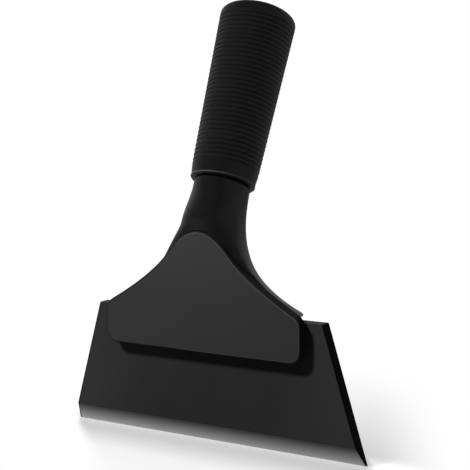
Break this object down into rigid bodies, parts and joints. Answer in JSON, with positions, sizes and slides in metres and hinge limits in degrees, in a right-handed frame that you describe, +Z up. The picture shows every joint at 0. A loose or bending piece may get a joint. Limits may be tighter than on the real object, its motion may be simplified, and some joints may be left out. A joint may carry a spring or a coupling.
{
  "type": "shower squeegee",
  "caption": "Hand squeegee with a bevelled trapezoid rubber blade clamped in a flared head, a raised rounded cover plate and a leaning handle with a ribbed rubber grip.",
  "frame": {"origin": "middle of the blade's lip, the edge that meets the glass", "axes": "+X along the blade, -Y towards the front cover, +Z up from the lip towards the handle"},
  "size_m": [0.15, 0.0716, 0.1952],
  "materials": {
    "body_plastic": "smooth moulded black",
    "cover_plastic": "fine satin grain, black",
    "blade_rubber": "dull smooth black",
    "grip_rubber": "ribbed matt black",
    "screw_steel": "bright zinc"
  },
  "bodies": {
    "handle": {"handle_body": "body_plastic", "front_cover": "cover_plastic", "grip_sleeve": "grip_rubber", "clamp_screw_left": "screw_steel", "clamp_screw_centre": "screw_steel", "clamp_screw_right": "screw_steel"},
    "blade": {"blade": "blade_rubber"}
  },
  "joints": [
    {"name": "blade_slide", "type": "slide", "parent": "blade", "child": "handle", "axis": [0, 0, 1], "range_m": [0, 0.018]}
  ]
}
